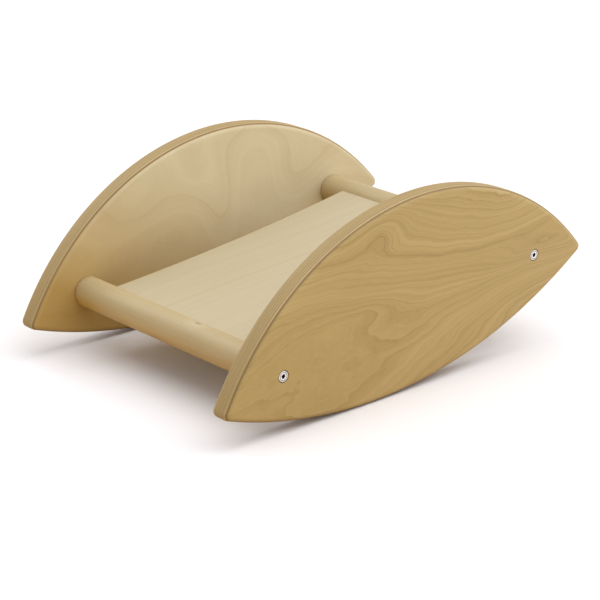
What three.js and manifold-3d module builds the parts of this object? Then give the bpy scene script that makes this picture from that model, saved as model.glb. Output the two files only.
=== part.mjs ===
// A toddler's plywood rocking seat. Two lens-shaped side panels stand on their flatter arcs,
// two round cross-bars tie them together, and a seat board with coved ends is dowelled between the bars.
// Millimetres, +X along the rocker with the front end at -X, +Y across it, +Z up,
// origin on the floor under the middle.

import * as THREE from "three";
import { mergeVertices } from "three/addons/utils/BufferGeometryUtils.js";
import Module from "manifold-3d";

const wasm = await Module();
wasm.setup();

// ---- driving dimensions ----

const fit = 0.3; // clearance between pieces that touch
const overcut = 1; // how far a cutter passes the surface it opens

const panelThickness = 21;
const panelHalfChord = 227; // middle to the point where the two arcs would meet
const panelTopRise = 125; // the deep arc that the hands rest on
const panelBottomRise = 56; // the flatter arc that rocks on the floor
const panelTipRadius = 6;
const panelEdgeRound = 5.5;
const innerWidth = 266; // clear width between the two panels

const barRadius = 15;
const barReach = 158.5; // middle to each bar's axis, along the rocker
const barLift = 15.5; // bar axis above the line through the panel tips
const barChamfer = 1;

const seatThickness = 18;
const seatWidth = 203;
const seatWaist = 6.5; // how far each long edge curves in at the middle
const seatEdgeRound = 1;

const screwRadius = 3;
const screwChamfer = 0.6;
const headRadius = 5.5;
const headRim = 0.6; // straight edge of the head above its cone
const headBevel = 0.3;
const headSink = 0.1; // head below the panel's face
const socketAcross = 4; // hexagon key size
const socketDepth = 2.4;

const insertWall = 0.7; // between the screw's bore and the root of the wood thread
const insertThread = 0.75; // height of the wood thread
const insertLength = 20;
const insertThreads = 4;
const insertBeyondScrew = 1.6; // length of the insert that the screw's end doesn't reach

const dowelRadius = 4;
const dowelLength = 30;
const dowelChamfer = 0.8;
const dowelDepthInBar = 12;
const dowelPitch = 72;
const dowelsPerEnd = 3;

// ---- facets ----

const arcSteps = 44; // along each long arc of a panel
const tipSteps = 6;
const panelRoundSteps = 4;
const waistSteps = 24;
const seatRoundSteps = 2;
const barSides = 48;
const boreSides = 24;
const screwSides = 24;
const socketSides = 6;
const insertSides = 16;
const dowelSides = 16;

// ---- sizes worked out from them ----

const tipLineHeight = panelBottomRise;
const barHeight = tipLineHeight + barLift;
const outerHalfWidth = innerWidth / 2 + panelThickness;
const barLength = innerWidth - 2 * fit;
const coveRadius = barRadius + fit;
const insertStart = panelThickness + 2 * fit; // from the panel's outer face, as the screw is measured
const insertRoot = screwRadius + fit + insertWall;
const insertRadius = insertRoot + insertThread;
const screwLength = insertStart + insertLength - insertBeyondScrew;

// ---- materials ----

function wood(color, roughness) {
  return new THREE.MeshStandardMaterial({ color, roughness, metalness: 0 });
}

const panelPly = wood(0xb89b68, 0.5);
const seatPly = wood(0xd0c1a0, 0.5);
const barWood = wood(0xbda47b, 0.45);
const dowelWood = wood(0xc9a878, 0.7);
const screwSteel = new THREE.MeshStandardMaterial({ color: 0xd8d5cf, roughness: 0.25, metalness: 1 });
const insertBrass = new THREE.MeshStandardMaterial({ color: 0xb59a4e, roughness: 0.4, metalness: 1 });

// ---- solids, joined and cut ----

function solidOf(geometry) {
  const bare = geometry.clone();
  bare.deleteAttribute("normal");
  bare.deleteAttribute("uv");
  const merged = mergeVertices(bare);
  const corners = merged.index.array;
  const kept = [];
  for (let i = 0; i < corners.length; i += 3) {
    const [a, b, c] = corners.slice(i, i + 3);
    if (a !== b && b !== c && c !== a) kept.push(a, b, c);
  }
  const vertProperties = Float32Array.from(merged.attributes.position.array);
  return new wasm.Manifold(new wasm.Mesh({ numProp: 3, vertProperties, triVerts: Uint32Array.from(kept) }));
}

function geometryOf(solid) {
  const mesh = solid.getMesh();
  const geometry = new THREE.BufferGeometry();
  geometry.setAttribute("position", new THREE.BufferAttribute(mesh.vertProperties, 3));
  geometry.setIndex(new THREE.BufferAttribute(mesh.triVerts, 1));
  geometry.computeVertexNormals();
  return geometry;
}

function cut(geometry, cutters) {
  let solid = solidOf(geometry);
  for (const cutter of cutters) solid = solid.subtract(solidOf(cutter));
  return geometryOf(solid);
}

// A turned solid on the Z axis. Each profile pair is [radius, z], from the low end to the high end.
function turned(profile, sides) {
  const points = profile.map(([radius, z]) => new THREE.Vector2(radius, z));
  return new THREE.LatheGeometry(points, sides).rotateX(Math.PI / 2);
}

// A plain round rod on the Z axis, from one height to another, with the same chamfer at both ends.
function rod(radius, low, high, chamfer, sides) {
  const profile = [
    [0, low],
    [radius - chamfer, low],
    [radius, low + chamfer],
    [radius, high - chamfer],
    [radius - chamfer, high],
    [0, high],
  ];
  return turned(profile, sides);
}

function boreCutter(radius, low, high, sides) {
  const profile = [
    [0, low],
    [radius, low],
    [radius, high],
    [0, high],
  ];
  return turned(profile, sides);
}

function piece(name, geometry, material) {
  const mesh = new THREE.Mesh(geometry, material);
  mesh.name = name;
  return mesh;
}

// ---- side panel: outline in its XY plane, outer face at z = 0, inner face at z = thickness ----

function arcPoints(centreY, centreX, radius, from, to, steps) {
  const points = [];
  for (let i = 0; i < steps; i++) {
    const angle = from + ((to - from) * i) / steps;
    points.push(new THREE.Vector2(centreX + radius * Math.cos(angle), centreY + radius * Math.sin(angle)));
  }
  return points;
}

function arcRadius(halfChord, rise) {
  return (halfChord ** 2 + rise ** 2) / (2 * rise);
}

// Two circles make the lens, and a small circle inside both of them rounds each tip.
function lensOutline() {
  const topRadius = arcRadius(panelHalfChord, panelTopRise);
  const bottomRadius = arcRadius(panelHalfChord, panelBottomRise);
  const topCentre = panelTopRise - topRadius;
  const bottomCentre = bottomRadius - panelBottomRise;
  const toTop = topRadius - panelTipRadius;
  const toBottom = bottomRadius - panelTipRadius;
  const tipY =
    (toTop ** 2 - toBottom ** 2 - topCentre ** 2 + bottomCentre ** 2) / (2 * (bottomCentre - topCentre));
  const tipX = Math.sqrt(toTop ** 2 - (tipY - topCentre) ** 2);
  const topAngle = Math.atan2(tipY - topCentre, tipX);
  const bottomAngle = Math.atan2(tipY - bottomCentre, tipX);
  return new THREE.Shape([
    ...arcPoints(bottomCentre, 0, bottomRadius, -Math.PI - bottomAngle, bottomAngle, arcSteps),
    ...arcPoints(tipY, tipX, panelTipRadius, bottomAngle, topAngle, tipSteps),
    ...arcPoints(topCentre, 0, topRadius, topAngle, Math.PI - topAngle, arcSteps),
    ...arcPoints(tipY, -tipX, panelTipRadius, Math.PI - topAngle, Math.PI - bottomAngle, tipSteps),
  ]);
}

function roundedPlate(shape, thickness, round, roundSteps) {
  const plate = new THREE.ExtrudeGeometry(shape, {
    depth: thickness - 2 * round,
    bevelThickness: round,
    bevelSize: round,
    bevelOffset: -round,
    bevelSegments: roundSteps,
  });
  return plate.translate(0, 0, round);
}

// The hole for one panel screw: a countersink for the head, then a clearance hole.
function screwHole(x) {
  const rimDepth = headSink + headRim;
  const coneDepth = headRadius - screwRadius;
  const wide = headRadius + fit;
  const narrow = screwRadius + fit;
  const profile = [
    [0, -overcut],
    [wide, -overcut],
    [wide, rimDepth + fit],
    [narrow, rimDepth + fit + coneDepth],
    [narrow, panelThickness + overcut],
    [0, panelThickness + overcut],
  ];
  return turned(profile, boreSides).translate(x, barLift, 0);
}

function panelGeometry() {
  const plate = roundedPlate(lensOutline(), panelThickness, panelEdgeRound, panelRoundSteps);
  return cut(plate, [screwHole(-barReach), screwHole(barReach)]);
}

// ---- panel screw: head's top at z = headSink, shank running inwards along +Z ----

function screwGeometry() {
  const top = headSink;
  const coneEnd = top + headRim + headRadius - screwRadius;
  const profile = [
    [0, top],
    [headRadius - headBevel, top],
    [headRadius, top + headBevel],
    [headRadius, top + headRim],
    [screwRadius, coneEnd],
    [screwRadius, screwLength - screwChamfer],
    [screwRadius - screwChamfer, screwLength],
    [0, screwLength],
  ];
  const socketRadius = socketAcross / 2 / Math.cos(Math.PI / socketSides);
  const socket = boreCutter(socketRadius, top - overcut, top + socketDepth, socketSides);
  return cut(turned(profile, screwSides), [socket]);
}

// ---- threaded insert: a sleeve with a coarse wood thread outside, in the end of a bar ----

function insertGeometry() {
  const start = insertStart;
  const bore = screwRadius + fit;
  const pitch = insertLength / insertThreads;
  const outside = [];
  for (let i = 0; i < insertThreads; i++) {
    outside.push([insertRoot, start + i * pitch]);
    outside.push([insertRadius, start + (i + 0.5) * pitch]);
  }
  outside.push([insertRoot, start + insertLength]);
  const profile = [[bore, start], ...outside, [bore, start + insertLength], [bore, start]];
  return turned(profile, insertSides);
}

// ---- one side: panel, its two screws and the two inserts they pull on ----

function side(sideName, outwards) {
  const group = new THREE.Group();
  group.add(piece(`side_panel_${sideName}`, panelGeometry(), panelPly));
  for (const x of [-barReach, barReach]) {
    const end = x * outwards < 0 ? "front" : "rear";
    const screw = piece(`panel_screw_${end}_${sideName}`, screwGeometry(), screwSteel);
    const insert = piece(`threaded_insert_${end}_${sideName}`, insertGeometry(), insertBrass);
    screw.position.set(x, barLift, 0);
    insert.position.set(x, barLift, 0);
    group.add(screw, insert);
  }
  group.rotation.x = Math.PI / 2;
  group.position.set(0, outerHalfWidth, tipLineHeight);
  const turn = new THREE.Group();
  turn.rotation.z = outwards > 0 ? 0 : Math.PI;
  turn.add(group);
  return turn;
}

// ---- cross-bar: axis along Y, dowel holes for the seat facing +X ----

function dowelPlaces() {
  return Array.from({ length: dowelsPerEnd }, (_, i) => (i - (dowelsPerEnd - 1) / 2) * dowelPitch);
}

function barGeometry() {
  const half = barLength / 2;
  const bar = rod(barRadius, -half, half, barChamfer, barSides).rotateX(Math.PI / 2);
  const cutters = [];
  for (const end of [-1, 1]) {
    const inner = half - insertLength - 2 * fit;
    const bore = boreCutter(insertRadius + fit, inner, half + overcut, boreSides);
    cutters.push(bore.rotateX((-end * Math.PI) / 2));
  }
  for (const y of dowelPlaces()) {
    const low = barRadius - dowelDepthInBar - fit;
    const bore = boreCutter(dowelRadius + fit, low, barRadius + overcut, boreSides);
    cutters.push(bore.rotateY(Math.PI / 2).translate(0, y, 0));
  }
  return cut(bar, cutters);
}

// The dowel's low end stands in the bar, and the rest in the seat board's end.
function dowelGeometry() {
  const low = barRadius - dowelDepthInBar;
  return rod(dowelRadius, low, low + dowelLength, dowelChamfer, dowelSides).rotateY(Math.PI / 2);
}

function crossBar(end, facing) {
  const group = new THREE.Group();
  group.add(piece(`${end}_bar`, barGeometry(), barWood));
  dowelPlaces().forEach((y, i) => {
    const dowel = piece(`seat_dowel_${end}_${i + 1}`, dowelGeometry(), dowelWood);
    dowel.position.y = y;
    group.add(dowel);
  });
  group.rotation.z = facing > 0 ? 0 : Math.PI;
  group.position.set(-facing * barReach, 0, barHeight);
  return group;
}

// ---- seat board: waisted long edges, ends coved to fit the bars, dowel holes in the coves ----

// The curve of each long edge ends where the top face meets the bars, and the blank runs on to their axes.
function seatOutline() {
  const half = seatWidth / 2;
  const corner = barReach - Math.sqrt(coveRadius ** 2 - (seatThickness / 2) ** 2);
  const waistRadius = arcRadius(corner, seatWaist);
  const waistCentre = half - seatWaist + waistRadius;
  const swing = Math.asin(corner / waistRadius);
  const down = -Math.PI / 2;
  return new THREE.Shape([
    new THREE.Vector2(barReach, half),
    ...arcPoints(waistCentre, 0, waistRadius, down + swing, down - swing, waistSteps),
    new THREE.Vector2(-corner, half),
    new THREE.Vector2(-barReach, half),
    new THREE.Vector2(-barReach, -half),
    ...arcPoints(-waistCentre, 0, waistRadius, -down + swing, -down - swing, waistSteps),
    new THREE.Vector2(corner, -half),
    new THREE.Vector2(barReach, -half),
  ]);
}

function coveCutter(x) {
  const half = seatWidth / 2 + overcut;
  const bar = boreCutter(coveRadius, -half, half, barSides);
  return bar.rotateX(Math.PI / 2).translate(x, 0, 0);
}

function seatGeometry() {
  const board = roundedPlate(seatOutline(), seatThickness, seatEdgeRound, seatRoundSteps);
  board.translate(0, 0, -seatThickness / 2);
  const cutters = [];
  for (const end of [-1, 1]) {
    cutters.push(coveCutter(end * barReach));
    for (const y of dowelPlaces()) {
      const floor = barReach - barRadius + dowelDepthInBar - dowelLength - fit;
      const bore = boreCutter(dowelRadius + fit, floor, barReach, boreSides);
      cutters.push(bore.rotateY((end * Math.PI) / 2).translate(0, y, 0));
    }
  }
  return cut(board, cutters);
}

function seatBoard() {
  const seat = piece("seat_board", seatGeometry(), seatPly);
  seat.position.z = barHeight;
  return seat;
}

// ---- the whole rocker ----

const rocker = new THREE.Group();
rocker.add(side("left", -1), side("right", 1));
rocker.add(crossBar("front", 1), crossBar("rear", -1));
rocker.add(seatBoard());

export default rocker;
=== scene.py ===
# A toddler's plywood rocking seat: two lens-shaped side panels that stand on their flatter arcs,
# two round cross-bars, a waisted seat board between the bars, and the fixings that hold them.
# Metres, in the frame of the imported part: +X along the rocker, front end at -X, +Y across, +Z up.

import bmesh
import bpy
import numpy as np
from mathutils import Matrix


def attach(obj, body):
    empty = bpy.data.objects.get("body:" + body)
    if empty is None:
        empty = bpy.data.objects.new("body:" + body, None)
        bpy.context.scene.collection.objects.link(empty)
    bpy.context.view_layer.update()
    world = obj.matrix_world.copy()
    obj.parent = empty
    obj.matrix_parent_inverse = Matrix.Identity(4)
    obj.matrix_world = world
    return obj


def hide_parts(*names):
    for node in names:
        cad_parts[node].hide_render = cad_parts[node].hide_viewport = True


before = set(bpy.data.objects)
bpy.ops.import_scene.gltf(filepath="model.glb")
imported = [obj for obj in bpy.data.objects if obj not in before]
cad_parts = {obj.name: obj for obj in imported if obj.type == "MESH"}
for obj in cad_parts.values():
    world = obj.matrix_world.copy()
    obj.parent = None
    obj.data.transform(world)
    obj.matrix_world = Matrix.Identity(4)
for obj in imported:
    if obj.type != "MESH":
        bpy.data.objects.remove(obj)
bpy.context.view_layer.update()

# ---- studio ----
# The rocker is tipped onto the front half of its arcs, so the floor is a plane that leans by that angle
# and touches both arcs. Its paint turns plain white well beyond the seat, as a paper sweep does. Three soft
# boxes, one of them overhead, stand in a white room.

scene = bpy.context.scene
scene.view_settings.view_transform = "Standard"
scene.view_settings.look = "None"

rock_angle = np.radians(7.05)
rocker_arc = 0.4881
floor_normal = np.array([np.sin(rock_angle), 0, np.cos(rock_angle)])
floor_along = np.array([np.cos(rock_angle), 0, -np.sin(rock_angle)])
floor_touch = np.array([-rocker_arc * np.sin(rock_angle), 0, rocker_arc * (1 - np.cos(rock_angle))])
floor_gap = 0.0002
floor_half = 14.0
sweep_start, sweep_end = 0.9, 2.2


def floor_sheet(name, centre, along, across, half):
    """A flat sheet: its four corners are centre +/- half * along +/- half * across."""
    signs = np.array([[-1, -1], [1, -1], [1, 1], [-1, 1]])
    corners = centre + signs[:, :1] * half * along + signs[:, 1:] * half * across
    mesh = bpy.data.meshes.new(name)
    mesh.from_pydata(corners.tolist(), [], [(0, 1, 2, 3)])
    sheet = bpy.data.objects.new(name, mesh)
    scene.collection.objects.link(sheet)
    return sheet


def add_shader(tree, kind, colour, strength=None):
    shader = tree.nodes.new(kind)
    shader.inputs["Color"].default_value = (*colour, 1)
    if strength is not None:
        shader.inputs["Strength"].default_value = strength
    return shader.outputs[0]


def mix_shaders(tree, share, first, second):
    mixer = tree.nodes.new("ShaderNodeMixShader")
    for socket, source in zip(mixer.inputs, (share, first, second)):
        tree.links.new(source, socket)
    return mixer.outputs[0]


def floor_finish(name):
    """White paint as it is seen, warm and darker as wood meets it in bounced light, and plain white beyond
    the sweep."""
    paint = bpy.data.materials.new(name)
    paint.use_nodes = True
    tree = paint.node_tree
    tree.nodes.remove(tree.nodes["Principled BSDF"])
    seen = add_shader(tree, "ShaderNodeBsdfDiffuse", (0.985, 0.970, 1.0))
    bounced = add_shader(tree, "ShaderNodeBsdfDiffuse", (0.54, 0.39, 0.16))
    ray = tree.nodes.new("ShaderNodeLightPath")
    painted = mix_shaders(tree, ray.outputs["Is Diffuse Ray"], seen, bounced)
    reach = tree.nodes.new("ShaderNodeVectorMath")
    reach.operation = "LENGTH"
    tree.links.new(tree.nodes.new("ShaderNodeTexCoord").outputs["Object"], reach.inputs[0])
    swept = tree.nodes.new("ShaderNodeMapRange")
    swept.inputs["From Min"].default_value = sweep_start
    swept.inputs["From Max"].default_value = sweep_end
    tree.links.new(reach.outputs["Value"], swept.inputs["Value"])
    white = add_shader(tree, "ShaderNodeEmission", (1, 1, 1), 1.0)
    whole = mix_shaders(tree, swept.outputs["Result"], painted, white)
    tree.links.new(whole, tree.nodes["Material Output"].inputs["Surface"])
    return paint


floor_centre = floor_touch - floor_gap * floor_normal
floor = floor_sheet("floor", floor_centre, floor_along, np.array([0, 1.0, 0]), floor_half)
floor.data.materials.append(floor_finish("floor_paint"))

room = bpy.data.worlds.new("white_room")
room.use_nodes = True
room_tree = room.node_tree
room_tree.nodes.remove(room_tree.nodes["Background"])
room_light = add_shader(room_tree, "ShaderNodeBackground", (1, 1, 1), 0.60)
backdrop = add_shader(room_tree, "ShaderNodeBackground", (1, 1, 1), 1.0)
sight = room_tree.nodes.new("ShaderNodeLightPath").outputs["Is Camera Ray"]
room_shown = mix_shaders(room_tree, sight, room_light, backdrop)
room_tree.links.new(room_shown, room_tree.nodes["World Output"].inputs["Surface"])
scene.world = room


def look_matrix(place, forward, up):
    """A turn whose -Z is forward and whose +Y is up, put at place."""
    back = -np.array(forward) / np.linalg.norm(forward)
    right = np.cross(up, back)
    right /= np.linalg.norm(right)
    true_up = np.cross(back, right)
    turn = Matrix(np.column_stack([right, true_up, back]).tolist()).to_4x4()
    return Matrix.Translation(place.tolist()) @ turn


seat_middle = np.array([0, 0, 0.08])


def soft_box(name, offset, size, watts):
    """A square lamp at seat_middle + offset, facing the seat."""
    light = bpy.data.lights.new(name, "AREA")
    light.shape = "SQUARE"
    light.size = size
    light.energy = watts
    light.color = (1, 0.99, 0.97)
    lamp = bpy.data.objects.new(name, light)
    lamp.matrix_world = look_matrix(seat_middle + offset, -np.array(offset), np.array([1.0, 0.2, 0]))
    scene.collection.objects.link(lamp)


soft_box("overhead_box", [0.19, -0.5, 2.38], 3.0, 35)
soft_box("rear_end_box", [2.6, -1.0, 1.6], 2.4, 33)
soft_box("far_side_box", [0, 2.6, 1.8], 2.4, 22)

camera = bpy.data.cameras.new("camera")
camera.lens = 121.44
camera.sensor_width = 36
camera.clip_start = 0.05
camera.clip_end = 60
camera_place = np.array([-1.12081, -1.36933, 0.85790])
camera_aim = [0.5730, 0.7042, -0.4193]
camera_up = np.array([0.3420, 0.2595, 0.9032])
camera_stand = bpy.data.objects.new("camera", camera)
camera_stand.matrix_world = look_matrix(camera_place, camera_aim, camera_up)
scene.collection.objects.link(camera_stand)
scene.camera = camera_stand

# ---- side panels ----
# Each side is one piece of 15-ply birch, sawn as a lens between two arcs, with both arrises rounded over
# on a router. Two countersunk holes take the screws. The face veneers run along the rocker.

ply_count = 15
panel_thick = 0.021
panel_half_chord = 0.227
panel_top_rise = 0.125
panel_low_rise = 0.056
panel_height = panel_low_rise + panel_top_rise
panel_tip_radius = 0.006
panel_round = 0.0055
panel_outer = 0.154
fit_gap = 0.0003
screw_x = 0.1585
screw_z = 0.0715
screw_radius = 0.003
screw_head_radius = 0.0055
countersink_radius = screw_head_radius + fit_gap
hole_radius = screw_radius + fit_gap
hole_profile = np.array(
    [(countersink_radius, 0), (countersink_radius, 0.001), (hole_radius, 0.0035), (hole_radius, panel_thick)]
)


def lens_half(inset, arc_points=120, tip_points=14):
    """Half of the lens, x >= 0, from its lowest point round the tip to its highest. Each of the three arcs
    is centre + (radius - inset) * (cos, sin), since an offset of a circle only shortens its radius."""
    top_radius = (panel_half_chord**2 + panel_top_rise**2) / (2 * panel_top_rise)
    low_radius = (panel_half_chord**2 + panel_low_rise**2) / (2 * panel_low_rise)
    top_z = panel_height - top_radius
    low_z = low_radius
    to_top = top_radius - panel_tip_radius
    to_low = low_radius - panel_tip_radius
    tip_z = (to_top**2 - to_low**2 - top_z**2 + low_z**2) / (2 * (low_z - top_z))
    tip_x = np.sqrt(to_top**2 - (tip_z - top_z) ** 2)
    top_angle = np.arctan2(tip_z - top_z, tip_x)
    low_angle = np.arctan2(tip_z - low_z, tip_x)

    def arc(x, z, radius, start, end, count, last):
        angle = np.linspace(start, end, count, endpoint=last)
        return np.column_stack([x + (radius - inset) * np.cos(angle), z + (radius - inset) * np.sin(angle)])

    return np.vstack(
        [
            arc(0, low_z, low_radius, -np.pi / 2, low_angle, arc_points, False),
            arc(tip_x, tip_z, panel_tip_radius, low_angle, top_angle, tip_points, False),
            arc(0, top_z, top_radius, top_angle, np.pi / 2, arc_points, True),
        ]
    )


def quads(rows, columns):
    """The faces of a grid of points stored row by row."""
    corner = np.arange(rows * columns).reshape(rows, columns)
    return np.stack([corner[:-1, :-1], corner[:-1, 1:], corner[1:, 1:], corner[1:, :-1]], -1).reshape(-1, 4)


def closed_piece(name, grids, weld=2e-6, sharp=35.0):
    """One closed mesh from grids of points, each (rows, columns, 3), with points nearer than weld merged,
    faces turned outwards, and edges sharper than sharp degrees kept crisp."""
    points, faces, first = [], [], 0
    for grid in grids:
        points.append(grid.reshape(-1, 3))
        faces.append(quads(*grid.shape[:2]) + first)
        first += len(points[-1])
    mesh = bpy.data.meshes.new(name)
    mesh.from_pydata(np.vstack(points), [], np.vstack(faces))
    work = bmesh.new()
    work.from_mesh(mesh)
    bmesh.ops.remove_doubles(work, verts=work.verts, dist=weld)
    bmesh.ops.dissolve_degenerate(work, edges=work.edges, dist=weld / 20)
    bmesh.ops.recalc_face_normals(work, faces=work.faces)
    work.to_mesh(mesh)
    work.free()
    mesh.polygons.foreach_set("use_smooth", np.ones(len(mesh.polygons), bool))
    mesh.set_sharp_from_angle(angle=np.radians(sharp))
    made = bpy.data.objects.new(name, mesh)
    scene.collection.objects.link(made)
    return made


def panel_half():
    """Grids for x >= 0 in (x, depth, z), depth counted inwards from the outer face: the edge is the lens
    carried along a round-over, straight, round-over profile; each face is rulings from hole to edge."""
    round_steps, seam_steps, face_steps = 10, 61, 46
    swing = np.linspace(0, np.pi / 2, round_steps)
    inset = panel_round * (1 - np.sin(swing))
    depth = panel_round * (1 - np.cos(swing))
    inset = np.concatenate([inset, inset[::-1]])
    depth = np.concatenate([depth, panel_thick - depth[::-1]])
    rings = [np.insert(lens_half(i), 1, d, axis=1) for i, d in zip(inset, depth)]
    edge = np.stack(rings)

    rim = lens_half(panel_round)
    seam_z = np.linspace(rim[-1, 1], rim[0, 1], seam_steps)
    seam = np.column_stack([0 * seam_z, seam_z])[1:]
    border = np.vstack([rim, seam])
    away = border - (screw_x, screw_z)
    away /= np.linalg.norm(away, axis=1, keepdims=True)
    share = np.linspace(0, 1, face_steps)[:, None, None]

    def face(inner_radius, depth):
        hole = (screw_x, screw_z) + inner_radius * away
        flat = (1 - share) * hole + share * border
        return np.insert(flat, 1, depth, axis=2)

    hole = (screw_x, screw_z) + hole_profile[:, :1, None] * away
    bore = np.insert(hole, 1, 0, axis=2)
    bore[:, :, 1] = hole_profile[:, 1:]
    return [edge, face(countersink_radius, 0.0), face(hole_radius, panel_thick), bore]


def ring_map(x, z, slope, hills):
    """The veneer's growth rings as a height map, in mm: a slope across the grain, plus slow hills, each
    height * exp(-(dx / length)^2 - (dz / breadth)^2). Its contour lines are the grain lines."""
    x, z = 1000 * x, 1000 * z
    level = slope[0] + slope[1] * (z - 60) + slope[2] * x / 10 + slope[3] * (x / 100) ** 2
    for hill_x, hill_z, length, breadth, height in hills:
        level = level + height * np.exp(-(((x - hill_x) / length) ** 2) - ((z - hill_z) / breadth) ** 2)
    return level


def outer_face_rings(x, z):
    """Long streaks that climb towards the rear and meet in arches low at the front."""
    slope = (56, 0.7, -0.2, -0.8)
    hills = [
        (-110, 5, 175, 50, 34),
        (-140, 130, 110, 60, -28),
        (-60, 95, 55, 15, -8),
        (-5, 55, 45, 12, 3),
        (150, 30, 55, 15, -13),
        (155, 135, 110, 55, 34),
        (-30, 165, 35, 20, -18),
        (180, 80, 80, 12, 21),
        (210, 65, 40, 12, 28),
    ]
    return ring_map(x, z, slope, hills)


def inner_face_rings(x, z):
    """Broad arches, one beside the other, above the seat."""
    slope = (60, 0.25, 0.4, 0.0)
    hills = [
        (-92, 138, 40, 26, 16),
        (-52, 95, 44, 20, -12),
        (-20, 150, 26, 38, 12),
        (14, 105, 26, 46, 20),
        (60, 120, 34, 52, -22),
        (112, 100, 46, 30, 12),
        (150, 75, 40, 26, -10),
        (-150, 80, 46, 24, 9),
        (-20, 30, 70, 24, 10),
    ]
    return ring_map(x, z, slope, hills)


def side_panel(name, side):
    """The half mirrored in x and welded, with y = side * (outer - depth). Point attribute veneer holds
    (x, rings, height) of the nearer face veneer. The right panel's outer veneer and the left one's inner
    are laid upside down, so height runs down from the top on them."""
    halves = panel_half()
    grids = halves + [g * (-1, 1, 1) for g in halves]
    placed = [np.stack([g[..., 0], side * (panel_outer - g[..., 1]), g[..., 2]], -1) for g in grids]
    panel = closed_piece(name, placed)
    place = np.empty(len(panel.data.vertices) * 3)
    panel.data.vertices.foreach_get("co", place)
    x, y, z = place.reshape(-1, 3).T
    depth = panel_outer - side * y
    outside = depth < panel_thick / 2
    height = np.where(outside == (side < 0), z, panel_height - z)
    rings = np.where(outside, outer_face_rings(x, height), inner_face_rings(x, height))
    veneer = panel.data.attributes.new("veneer", "FLOAT_VECTOR", "POINT")
    veneer.data.foreach_set("vector", np.column_stack([x * 1000, rings, height * 1000]).ravel())
    return panel


def finish_of(name):
    finish = bpy.data.materials.new(name)
    finish.use_nodes = True
    return finish, finish.node_tree, finish.node_tree.nodes["Principled BSDF"]


def put(tree, kind, values=(), **settings):
    """Adds a node. Each value is a number, a colour or another node's socket, by the input's name or
    place."""
    made = tree.nodes.new(kind)
    for key, value in settings.items():
        setattr(made, key, value)
    for key, value in dict(values).items():
        if isinstance(value, bpy.types.NodeSocket):
            tree.links.new(value, made.inputs[key])
        else:
            made.inputs[key].default_value = value
    return made


def maths(tree, operation, a, b=0.0):
    return put(tree, "ShaderNodeMath", {0: a, 1: b}, operation=operation).outputs[0]


def times(tree, a, b):
    return maths(tree, "MULTIPLY", a, b)


def plus(tree, a, b):
    return maths(tree, "ADD", a, b)


def minus(tree, a, b):
    return maths(tree, "SUBTRACT", a, b)


def absolute(tree, a):
    return maths(tree, "ABSOLUTE", a)


def point(tree, x, y, z):
    return put(tree, "ShaderNodeCombineXYZ", {0: x, 1: y, 2: z}).outputs[0]


def parts(tree, vector):
    return put(tree, "ShaderNodeSeparateXYZ", {0: vector}).outputs


def dot(tree, vector, other):
    made = put(tree, "ShaderNodeVectorMath", {0: vector, 1: other}, operation="DOT_PRODUCT")
    return made.outputs["Value"]


def length(tree, vector):
    return put(tree, "ShaderNodeVectorMath", {0: vector}, operation="LENGTH").outputs["Value"]


def object_place(tree):
    return put(tree, "ShaderNodeTexCoord").outputs["Object"]


def scaled(tree, vector, scale, shift=(0, 0, 0)):
    return put(tree, "ShaderNodeMapping", {"Vector": vector, "Scale": scale, "Location": shift}).outputs[0]


def noise(tree, vector, scale, detail=2.0, rough=0.5):
    values = {"Vector": vector, "Scale": scale, "Detail": detail, "Roughness": rough}
    return put(tree, "ShaderNodeTexNoise", values).outputs[0]


def spread(tree, value, low, high, to_low=0.0, to_high=1.0):
    values = {"Value": value, "From Min": low, "From Max": high, "To Min": to_low, "To Max": to_high}
    return put(tree, "ShaderNodeMapRange", values).outputs[0]


def blend(tree, share, a, b, kind="MIX"):
    made = tree.nodes.new("ShaderNodeMix")
    made.data_type = "RGBA"
    made.blend_type = kind
    for socket, value in ((made.inputs[0], share), (made.inputs[6], a), (made.inputs[7], b)):
        if isinstance(value, bpy.types.NodeSocket):
            tree.links.new(value, socket)
        elif isinstance(value, tuple):
            socket.default_value = (*value, 1)
        else:
            socket.default_value = value
    return made.outputs[2]


def tinted(tree, wood, tint, share=1.0):
    """The wood times the tint, as far as share."""
    return blend(tree, share, wood, tint, "MULTIPLY")


def clouded(tree, wood, cloud_place, detail, low, high):
    """The wood times a slow tone that drifts between low and high."""
    cloud = noise(tree, cloud_place, 1.0, detail, 0.5)
    return tinted(tree, wood, blend(tree, cloud, low, high))


def bump(tree, height, strength, distance, normal=None):
    values = {"Height": height, "Strength": strength, "Distance": distance}
    if normal is not None:
        values["Normal"] = normal
    return put(tree, "ShaderNodeBump", values).outputs[0]


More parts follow.
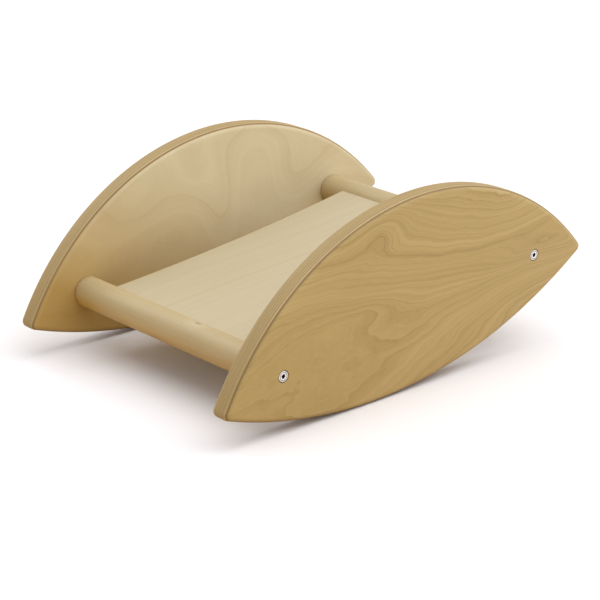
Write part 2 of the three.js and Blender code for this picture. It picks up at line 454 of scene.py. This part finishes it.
def veneer_colour(tree, rings, along, tones, contrast, figure, lines=0.42):
    """Birch veneer: soft bands that depend only on the ring height, a growth line where each ring ends (the
    tone falls slowly, then jumps back), and streaks drawn out along the grain. tones are the pale, middle
    and dark colours, figure is rings per mm, and lines is how strongly the growth lines show. Returns the
    colour and the pattern value."""
    ring_place = point(tree, times(tree, along, 0.006), rings, 3.1)
    broad = noise(tree, ring_place, figure * 0.9, 2.0, 0.55)
    fine = noise(tree, ring_place, figure * 3.4, 3.0, 0.6)
    streaks = noise(tree, point(tree, times(tree, along, 0.05), rings, 7.7), 1.7, 3.0, 0.65)
    turns = plus(tree, times(tree, rings, figure), times(tree, broad, 1.6))
    late = spread(tree, maths(tree, "FRACT", turns), 0.45, 1.0)
    late = times(tree, times(tree, late, late), spread(tree, streaks, 0.35, 0.62, 0.25, 1.0))
    bands = plus(tree, times(tree, broad, 0.55), times(tree, fine, 0.45))
    bands = spread(tree, bands, 0.32, 0.68)
    mixed = plus(tree, times(tree, bands, 0.58), times(tree, streaks, 0.42))
    mixed = minus(tree, plus(tree, mixed, 0.10), times(tree, late, lines))
    level = plus(tree, 0.5, times(tree, minus(tree, mixed, 0.5), contrast))
    pale, middle, dark = tones
    ramp = put(tree, "ShaderNodeValToRGB", {0: level})
    stops = ramp.color_ramp.elements
    stops[0].position, stops[0].color = 0.15, (*dark, 1)
    stops[1].position, stops[1].color = 0.85, (*pale, 1)
    stops.new(0.5).color = (*middle, 1)
    return ramp.outputs[0], level


outer_tones = ((0.615, 0.456, 0.207), (0.543, 0.390, 0.158), (0.440, 0.302, 0.108))
inner_tones = ((0.740, 0.630, 0.400), (0.690, 0.570, 0.345), (0.600, 0.460, 0.240))
long_ply = (0.462, 0.334, 0.144)
end_ply = (0.378, 0.265, 0.107)
second_ply = (0.280, 0.178, 0.065)
third_ply = (0.565, 0.430, 0.225)
glue_line = (0.215, 0.130, 0.050)
pore_brown = (0.28, 0.18, 0.09)


def face_veneer(tree, outside, normal):
    """The two face veneers, each with a figure and tones of its own. The inner one carries painted shade,
    darker and yellower low at the front, where the front bar shades it, and painted light, paler towards the
    rear top;
    on the left panel its height runs down from the top, so there this lies upside down. The outer one grows
    paler and cooler towards the rear, and both carry painted shade, darker and greyer where the arris is
    rounded. Returns the colour, the pattern value and the fibre."""
    veneer = parts(tree, put(tree, "ShaderNodeAttribute", attribute_name="veneer").outputs["Vector"])
    along, rings, height = veneer
    flat_place = point(tree, times(tree, along, 0.024), times(tree, height, 0.05), 1.7)
    wiggle = noise(tree, flat_place, 1.0, 3.0, 0.55)
    rings = plus(tree, rings, times(tree, minus(tree, wiggle, 0.5), 7.0))
    outer_wood, outer_level = veneer_colour(tree, rings, along, outer_tones, 1.1, 0.24)
    inner_wood, inner_level = veneer_colour(tree, rings, along, inner_tones, 0.8, 0.075, 0.26)
    # Painted shade and light on the inner veneer: darker and yellower low at the front, where the front bar
    # shades it, paler towards the rear top.
    paler = plus(tree, times(tree, along, 0.0032), times(tree, height, 0.0052))
    painted_inner_shading = blend(tree, spread(tree, paler, -0.17, 0.60), (0.80, 0.645, 0.36), (1.06, 1.09, 1.17))
    inner_wood = tinted(tree, inner_wood, painted_inner_shading)
    # The outer veneer grows paler and cooler towards the rear.
    paler_to_rear = blend(tree, spread(tree, along, -60.0, 230.0), (1.0, 1.0, 1.0), (1.06, 1.09, 1.18))
    outer_wood = tinted(tree, outer_wood, paler_to_rear)
    wood = blend(tree, outside, inner_wood, outer_wood)
    # Painted shade: the veneer darkens and greys where the round-over turns away from the face.
    round_over_shade = spread(tree, absolute(tree, normal[1]), 0.99, 0.80)
    wood = tinted(tree, wood, (0.80, 0.77, 0.70), times(tree, round_over_shade, 0.8))
    cloud_place = scaled(tree, object_place(tree), (9, 30, 16))
    wood = clouded(tree, wood, cloud_place, 3.0, (0.93, 0.92, 0.90), (1.07, 1.075, 1.09))
    fibre_place = point(tree, times(tree, along, 0.06), times(tree, rings, 2.2), outside)
    fibre = noise(tree, fibre_place, 1.6, 3.0, 0.7)
    wood = blend(tree, times(tree, spread(tree, fibre, 0.56, 0.75), 0.10), wood, (0.36, 0.22, 0.09))
    level = plus(tree, times(tree, outside, minus(tree, outer_level, inner_level)), inner_level)
    return wood, level, fibre


def between_veneers(tree, plies, count):
    """1 on the plies that show where the board is sawn, and 0 on the first and the last, its faces."""
    from_middle = absolute(tree, minus(tree, plies, count / 2))
    return maths(tree, "LESS_THAN", from_middle, count / 2 - 1)


def glue_lines(tree, edge, plies, start, strength):
    """Darkens the edge towards each whole number of plies, where two plies meet."""
    line = absolute(tree, minus(tree, maths(tree, "FRACT", plies), 0.5))
    return blend(tree, times(tree, spread(tree, line, start, 0.5), strength), edge, glue_line)


def panel_edge(tree, plies, cross, pores):
    """The sawn edge: end grain and long grain by turns, each ply with a tint of its own, the second ply in
    from each face dark and the third pale."""
    x, _, z = parts(tree, object_place(tree))
    number = maths(tree, "FLOOR", plies)
    tint_place = point(tree, times(tree, x, 14.0), times(tree, number, 5.3), times(tree, z, 14.0))
    tint = noise(tree, tint_place, 1.0, 2.0, 0.6)
    tint = blend(tree, tint, (0.80, 0.78, 0.76), (1.22, 1.2, 1.16))
    edge = blend(tree, cross, long_ply, end_ply)
    from_middle = absolute(tree, minus(tree, plies, ply_count / 2))
    for depth, colour, strength in ((2.5, third_ply, 0.6), (1.5, second_ply, 0.9)):
        there = maths(tree, "COMPARE", from_middle, ply_count / 2 - depth)
        there.node.inputs[2].default_value = 0.5
        edge = blend(tree, times(tree, there, strength), edge, colour)
    edge = tinted(tree, edge, tint)
    open_pores = times(tree, cross, spread(tree, pores, 0.45, 0.7, 0.0, 0.6))
    edge = blend(tree, open_pores, edge, pore_brown)
    return glue_lines(tree, edge, plies, 0.40, 0.6)


def panel_finish(name, side):
    """Veneer on the faces and round-overs, and sawn plies between them. Towards the tips the edge runs
    across the other grain, so long and end grain change places there."""
    finish, tree, shader = finish_of(name)
    place = object_place(tree)
    normal = parts(tree, put(tree, "ShaderNodeNewGeometry").outputs["Normal"])
    depth = minus(tree, panel_outer * 1000, times(tree, parts(tree, place)[1], side * 1000.0))
    plies = times(tree, depth, ply_count / (panel_thick * 1000))
    outside = maths(tree, "LESS_THAN", plies, ply_count / 2)
    wood, level, fibre = face_veneer(tree, outside, normal)

    cross = maths(tree, "MODULO", maths(tree, "FLOOR", plies), 2.0)
    tip = spread(tree, absolute(tree, normal[0]), 0.55, 0.8)
    cross = absolute(tree, minus(tree, cross, times(tree, tip, 0.85)))
    pores = noise(tree, scaled(tree, place, (1400, 700, 1400)), 1.0, 2.0, 0.7)
    edge = panel_edge(tree, plies, cross, pores)
    sawn = between_veneers(tree, plies, ply_count)
    tree.links.new(blend(tree, sawn, wood, edge), shader.inputs["Base Color"])

    cross_sawn = times(tree, cross, sawn)
    rough = plus(tree, plus(tree, 0.42, times(tree, level, 0.12)), times(tree, cross_sawn, 0.16))
    tree.links.new(rough, shader.inputs["Roughness"])
    grain = bump(tree, plus(tree, times(tree, level, 0.5), fibre), 0.25, 0.0002)
    ply_height = times(tree, minus(tree, 1.0, cross), sawn)
    ply_height = plus(tree, ply_height, times(tree, pores, cross_sawn))
    tree.links.new(bump(tree, ply_height, 0.35, 0.00015, grain), shader.inputs["Normal"])
    return finish


for name, side in (("left", -1), ("right", 1)):
    panel = side_panel(f"{name}_panel", side)
    panel.data.materials.append(panel_finish(f"birch_panel_{name}", side))
    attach(panel, "root")
    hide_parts(f"side_panel_{name}")

# ---- cross-bars ----
# Two lengths of 30 mm round hardwood, sanded and oiled, butted between the panels. Each end has a small
# chamfer and a hole for a threaded insert. The dowel holes behind the seat board aren't cut here.

bar_radius = 0.015
bar_half = panel_outer - panel_thick - fit_gap
bar_chamfer = 0.001
bar_x = screw_x
bar_z = screw_z
insert_radius = 0.00475
insert_length = 0.020
insert_bore = insert_radius + fit_gap
insert_depth = insert_length + 2 * fit_gap


def turned(profile, count=96):
    """A profile of (radius, height) pairs turned about an axis, so that columns go round and rows follow the
    profile."""
    angle = np.linspace(0, 2 * np.pi, count + 1)
    radius, height = profile[:, :1], profile[:, 1:]
    return np.stack([radius * np.cos(angle), radius * np.sin(angle), height + 0 * angle], -1)


def cross_bar(name, x):
    """Profile from the floor of one insert hole, out, over the bar and into the other, turned about Y."""
    long = np.linspace(-(bar_half - bar_chamfer), bar_half - bar_chamfer, 60)
    end = [(0, insert_depth - bar_half), (insert_bore, insert_depth - bar_half), (insert_bore, -bar_half)]
    end += [(bar_radius - bar_chamfer, -bar_half)]
    end += [(bar_radius - 0.3 * bar_chamfer, -bar_half + 0.4 * bar_chamfer)]
    profile = np.array(end + [(bar_radius, h) for h in long] + [(r, -h) for r, h in end[::-1]])
    around = turned(profile)
    placed = np.stack([x + around[..., 0], around[..., 2], bar_z + around[..., 1]], -1)
    return closed_piece(name, [placed])


bar_tones = ((0.560, 0.418, 0.217), (0.525, 0.382, 0.187), (0.470, 0.330, 0.148))
knot_size = (0.008, 0.013, 0.008)


def bar_finish(name, x, knot_y, knot_angle, seed):
    """Slow rings along the bar that swell by e^-(reach^2) round one small knot, reach being the distance in
    knot sizes. Painted light makes the top paler and cooler, and painted warm bounce light makes the lower
    side more orange."""
    finish, tree, shader = finish_of(name)
    place = object_place(tree)
    local = scaled(tree, place, (1, 1, 1), (-x, 0, -bar_z))
    _, y, z = parts(tree, local)
    knot = (bar_radius * np.cos(knot_angle), knot_y, bar_radius * np.sin(knot_angle))
    from_knot = scaled(tree, local, (1, 1, 1), tuple(-k for k in knot))
    reach = length(tree, scaled(tree, from_knot, tuple(1 / k for k in knot_size)))
    swirl = maths(tree, "POWER", 2.718, times(tree, times(tree, reach, reach), -1.0))

    slant = dot(tree, local, (1.0, 0.035, 0.55))
    wander = noise(tree, scaled(tree, place, (30, 5, 30), (seed, seed, 0)), 1.0, 2.0, 0.5)
    rings = plus(tree, times(tree, slant, 1000.0), times(tree, wander, 7.0))
    rings = plus(tree, rings, times(tree, swirl, 5.0))
    wood, level = veneer_colour(tree, rings, times(tree, y, 1000.0), bar_tones, 0.6, 0.34)
    flecks = noise(tree, scaled(tree, place, (420, 36, 420), (seed, 0, seed)), 1.0, 3.0, 0.65)
    wood = blend(tree, times(tree, spread(tree, flecks, 0.55, 0.72), 0.18), wood, (0.42, 0.25, 0.10))
    cloud_place = scaled(tree, place, (24, 11, 24), (0, seed, 0))
    wood = clouded(tree, wood, cloud_place, 2.0, (0.93, 0.92, 0.90), (1.07, 1.07, 1.08))
    core = spread(tree, reach, 0.42, 0.16)
    halo = times(tree, spread(tree, reach, 1.5, 0.4), 0.5)
    wood = blend(tree, halo, wood, (0.63, 0.50, 0.29))
    wood = blend(tree, times(tree, core, 0.6), wood, (0.30, 0.17, 0.07))

    end_rings = maths(tree, "SINE", times(tree, slant, 5200.0))
    end_wood = blend(tree, spread(tree, end_rings, -1.0, 1.0), (0.40, 0.26, 0.13), (0.55, 0.39, 0.21))
    at_end = maths(tree, "GREATER_THAN", absolute(tree, y), bar_half - 0.0002)
    inside = maths(tree, "LESS_THAN", length(tree, scaled(tree, local, (1, 0, 1))), bar_radius * 0.9)
    wood = blend(tree, maths(tree, "MAXIMUM", at_end, inside), wood, end_wood)
    # Painted light on the top, paler and cooler, and painted warm bounce light and shade below, more orange.
    painted_top_light = spread(tree, z, 0.1 * bar_radius, 0.9 * bar_radius)
    painted_bounce_below = spread(tree, z, 0.35 * bar_radius, -0.6 * bar_radius)
    wood = tinted(tree, wood, (0.97, 1.05, 1.17), painted_top_light)
    wood = tinted(tree, wood, (1.12, 1.00, 0.58), painted_bounce_below)
    tree.links.new(wood, shader.inputs["Base Color"])
    tree.links.new(plus(tree, 0.36, times(tree, flecks, 0.16)), shader.inputs["Roughness"])
    height = plus(tree, times(tree, level, 0.6), flecks)
    tree.links.new(bump(tree, height, 0.3, 0.0002), shader.inputs["Normal"])
    return finish


# Each bar's x, then its knot's y and angle round the bar, and a number that gives it grain of its own.
bar_knots = {"front": (-bar_x, -0.036, np.radians(78), 3.0), "rear": (bar_x, 0.074, np.radians(-35), 8.0)}
for end, (x, knot_y, knot_angle, seed) in bar_knots.items():
    bar = cross_bar(f"{end}_cross_bar", x)
    bar.data.materials.append(bar_finish(f"oiled_bar_{end}", x, knot_y, knot_angle, seed))
    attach(bar, "root")
    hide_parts(f"{end}_bar")

# ---- seat board ----
# An 18 mm board of pale birch ply, 13 plies, whose long edges curve in a little at the middle.
# Its ends are coved to sit round the bars, and its upper and lower edges are eased by hand.

seat_thick = 0.018
seat_half_width = 0.1015
seat_waist = 0.0065
seat_ease = 0.001
seat_plies = 13
cove_radius = bar_radius + fit_gap


def seat_board(name):
    """The six faces of a bent box. A point is (row * reach(z), s * (half width(x) - inset), z), where
    (inset, z) runs down the section's eased edge, reach(z) = bar - sqrt(cove^2 - z^2) gives the coved end,
    and the half width is edge - waist * (1 - (x / corner)^2). Top and bottom are the first and last z,
    sides are s = +/-1, and coves are row = +/-1."""
    half = seat_thick / 2
    corner = bar_x - np.sqrt(cove_radius**2 - half**2)
    ease = np.linspace(0, np.pi / 2, 5)
    side_z = np.linspace(half - seat_ease, -(half - seat_ease), 16)[1:-1]
    inset = seat_ease * np.r_[1 - np.sin(ease), 0 * side_z, 1 - np.sin(ease[::-1])]
    z = np.r_[half - seat_ease * (1 - np.cos(ease)), side_z, seat_ease * (1 - np.cos(ease[::-1])) - half]

    def skin(row, s, k):
        reach = bar_x - np.sqrt(cove_radius**2 - z[k] ** 2)
        x = row * reach
        half_width = seat_half_width - seat_waist * (1 - np.minimum(np.abs(x) / corner, 1) ** 2)
        return np.stack(np.broadcast_arrays(x, s * (half_width - inset[k]), bar_z + z[k]), -1)

    rows = np.linspace(-1, 1, 81)[:, None]
    across = np.linspace(-1, 1, 41)
    down = np.arange(len(z))
    faces = [skin(rows, across[None], k) for k in (0, len(z) - 1)]
    faces += [skin(rows, s, down[None]) for s in (-1.0, 1.0)]
    faces += [skin(end, across[:, None], down[None]) for end in (-1.0, 1.0)]
    return closed_piece(name, faces)


board_tones = ((0.575, 0.495, 0.335), (0.550, 0.465, 0.305), (0.490, 0.400, 0.240))


def board_finish(name):
    """Quiet veneer with its grain along X above and below, and sawn plies on the edges and coves."""
    finish, tree, shader = finish_of(name)
    place = object_place(tree)
    x, _, z = parts(tree, place)
    plies = times(tree, minus(tree, z, bar_z - seat_thick / 2), seat_plies / seat_thick)
    wander = noise(tree, scaled(tree, place, (5, 14, 0), (2, 5, 0)), 1.0, 2.0, 0.5)
    rings = plus(tree, dot(tree, place, (95.0, 1000.0, 0.0)), times(tree, wander, 26.0))
    wood, level = veneer_colour(tree, rings, times(tree, x, 1000.0), board_tones, 0.55, 0.085)
    cloud_place = scaled(tree, place, (10, 22, 10))
    wood = clouded(tree, wood, cloud_place, 2.0, (0.965, 0.96, 0.95), (1.03, 1.035, 1.045))
    fibre = noise(tree, scaled(tree, place, (60, 1700, 60)), 1.0, 3.0, 0.7)
    wood = blend(tree, times(tree, spread(tree, fibre, 0.56, 0.75), 0.06), wood, (0.46, 0.33, 0.17))

    cross = maths(tree, "MODULO", maths(tree, "FLOOR", plies), 2.0)
    pores = noise(tree, scaled(tree, place, (1400, 1400, 700)), 1.0, 2.0, 0.7)
    edge = blend(tree, cross, long_ply, end_ply)
    edge = blend(tree, times(tree, cross, spread(tree, pores, 0.45, 0.7)), edge, (0.30, 0.19, 0.10))
    edge = glue_lines(tree, edge, plies, 0.44, 0.55)
    sawn = between_veneers(tree, plies, seat_plies)
    tree.links.new(blend(tree, sawn, wood, edge), shader.inputs["Base Color"])
    rough = plus(tree, 0.46, times(tree, times(tree, cross, sawn), 0.16))
    tree.links.new(plus(tree, rough, times(tree, level, 0.08)), shader.inputs["Roughness"])
    grain = plus(tree, times(tree, level, 0.5), fibre)
    tree.links.new(bump(tree, grain, 0.22, 0.0002), shader.inputs["Normal"])
    return finish


seat = seat_board("waisted_seat_board")
seat.data.materials.append(board_finish("pale_birch_board"))
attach(seat, "root")
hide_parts("seat_board")

# ---- panel screws ----
# Four steel connector screws, flush in the panels' outer faces: a countersunk head with a turned groove
# round a raised land, a hexagon socket, a plain neck, and a machine thread that runs into the bar's insert.

screw_sink = 0.0001


def screw_points(x, side):
    """Rows run from the socket's floor out over the head and down the shank; columns go round. Each row is
    (radius, depth) in mm: socket rows have radius apothem / cos(angle from the nearest flat), and thread
    rows have radius crest - height * |2 frac(depth / pitch - turn) - 1|."""
    turn = np.linspace(0, 1, 73)
    angle = 2 * np.pi * turn
    from_flat = np.mod(angle + np.pi / 6, np.pi / 3) - np.pi / 6
    hexagon = 1 / np.cos(from_flat)
    round_row = np.ones_like(angle)
    shank, head = 1000 * screw_radius, 1000 * screw_head_radius
    socket = [(0.0, 2.7), (1.1, 2.5), (2.0, 2.4), (2.0, 1.2), (2.0, 0.22), (2.14, 0.04)]
    land = [(2.6, 0.02), (3.0, 0.0), (3.46, 0.02)]
    groove = [(3.52, 0.08), (3.57, 0.3), (4.02, 0.3), (4.07, 0.08), (4.15, 0.02)]
    rim = [(4.6, 0.0), (4.85, 0.03), (4.98, 0.12), (5.12, 0.4), (head, 0.55), (head, 0.6)]
    cone = [(4.2, 1.9), (3.0, 3.1), (2.8, 3.4)]
    neck = [(2.8, depth) for depth in np.linspace(6, 18, 5)]
    rows = [(r * hexagon, d * round_row) for r, d in socket]
    rows += [(r * round_row, d * round_row) for r, d in land + groove + rim + cone + neck]
    start, end, pitch, height = 18.5, 39.0, 1.0, 0.55
    depth = np.linspace(start, end, 165)[:, None]
    fade = np.clip((depth - start) / 1.5, 0, 1)
    crest = shank - 0.2 * (1 - fade)
    thread = crest - height * fade * np.abs(2 * np.mod(depth / pitch - turn, 1.0) - 1)
    rows += list(zip(thread, depth * round_row))
    rows += [(r * round_row, d * round_row) for r, d in ((2.3, 39.5), (2.0, 39.9), (0, 39.9))]
    radius = np.stack([r for r, _ in rows]) / 1000
    depth = np.stack([d for _, d in rows]) / 1000
    y = side * (panel_outer - screw_sink - depth)
    return np.stack([x + radius * np.cos(angle), y, screw_z + radius * np.sin(angle)], -1)


def steel_finish(name):
    """Bright plate with turning marks. Painted shade darkens the socket towards its floor, the groove,
    and the rim below the panel's face."""
    finish, tree, shader = finish_of(name)
    place = object_place(tree)
    marks = noise(tree, scaled(tree, place, (2600, 300, 2600)), 1.0, 2.0, 0.6)
    smudge = noise(tree, scaled(tree, place, (220, 220, 220)), 1.0, 2.0, 0.5)
    x, y, z = parts(tree, place)
    from_axis = point(tree, minus(tree, absolute(tree, x), screw_x), minus(tree, z, screw_z), 0.0)
    depth = minus(tree, panel_outer, absolute(tree, y))
    in_socket = maths(tree, "LESS_THAN", length(tree, from_axis), 0.0025)
    in_head = times(tree, minus(tree, 1.0, in_socket), maths(tree, "LESS_THAN", depth, 0.0009))
    # Painted shade in the recesses: darker with depth in the socket, and in the groove and the rim below the
    # face.
    down_socket = spread(tree, depth, screw_sink + 0.0002, screw_sink + 0.0015)
    sunk = spread(tree, depth, screw_sink + 0.0001, screw_sink + 0.00026)
    shade = maths(tree, "MAXIMUM", times(tree, in_socket, down_socket), times(tree, in_head, sunk))
    metal = blend(tree, smudge, (0.76, 0.72, 0.67), (0.88, 0.84, 0.78))
    tree.links.new(blend(tree, shade, metal, (0.035, 0.033, 0.034)), shader.inputs["Base Color"])
    shader.inputs["Metallic"].default_value = 1.0
    rough = plus(tree, 0.22, times(tree, smudge, 0.16))
    tree.links.new(plus(tree, rough, times(tree, shade, 0.25)), shader.inputs["Roughness"])
    tree.links.new(bump(tree, marks, 0.12, 0.00005), shader.inputs["Normal"])
    return finish


steel = steel_finish("bright_steel")
for side_name, side in (("left", -1), ("right", 1)):
    for end, x in (("front", -screw_x), ("rear", screw_x)):
        screw = closed_piece(f"{end}_{side_name}_screw", [screw_points(x, side)])
        screw.data.materials.append(steel)
        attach(screw, "root")
        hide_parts(f"panel_screw_{end}_{side_name}")

# ---- threaded inserts ----
# Four brass sleeves with a coarse wood thread outside and a machine thread inside. They are screwed into
# the bars' end grain before the panels go on, and the panels hide them.


def brass_finish(name):
    """Turned brass, duller in patches."""
    finish, tree, shader = finish_of(name)
    place = object_place(tree)
    dull = noise(tree, scaled(tree, place, (400, 400, 400)), 1.0, 3.0, 0.6)
    tree.links.new(blend(tree, dull, (0.46, 0.33, 0.11), (0.72, 0.55, 0.24)), shader.inputs["Base Color"])
    shader.inputs["Metallic"].default_value = 1.0
    tree.links.new(plus(tree, 0.28, times(tree, dull, 0.25)), shader.inputs["Roughness"])
    tree.links.new(bump(tree, dull, 0.2, 0.0001), shader.inputs["Normal"])
    return finish


brass = brass_finish("plain_brass")
for side_name in ("left", "right"):
    for end in ("front", "rear"):
        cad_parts[f"threaded_insert_{end}_{side_name}"].material_slots[0].material = brass

# ---- seat dowels ----
# Three 8 mm beech dowels at each end of the seat board, 30 mm long. Each is glued 12 mm deep into the bar
# and for the rest of its length into the board, so none of it shows.


def dowel_finish(name):
    """Beech with its fibres along the dowel, which lies along X."""
    finish, tree, shader = finish_of(name)
    place = object_place(tree)
    fibre = noise(tree, scaled(tree, place, (50, 900, 900)), 1.0, 3.0, 0.65)
    tree.links.new(blend(tree, fibre, (0.50, 0.32, 0.17), (0.72, 0.53, 0.32)), shader.inputs["Base Color"])
    tree.links.new(plus(tree, 0.55, times(tree, fibre, 0.2)), shader.inputs["Roughness"])
    tree.links.new(bump(tree, fibre, 0.3, 0.0002), shader.inputs["Normal"])
    return finish


beech = dowel_finish("beech_dowel")
for end in ("front", "rear"):
    for number in (1, 2, 3):
        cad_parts[f"seat_dowel_{end}_{number}"].material_slots[0].material = beech
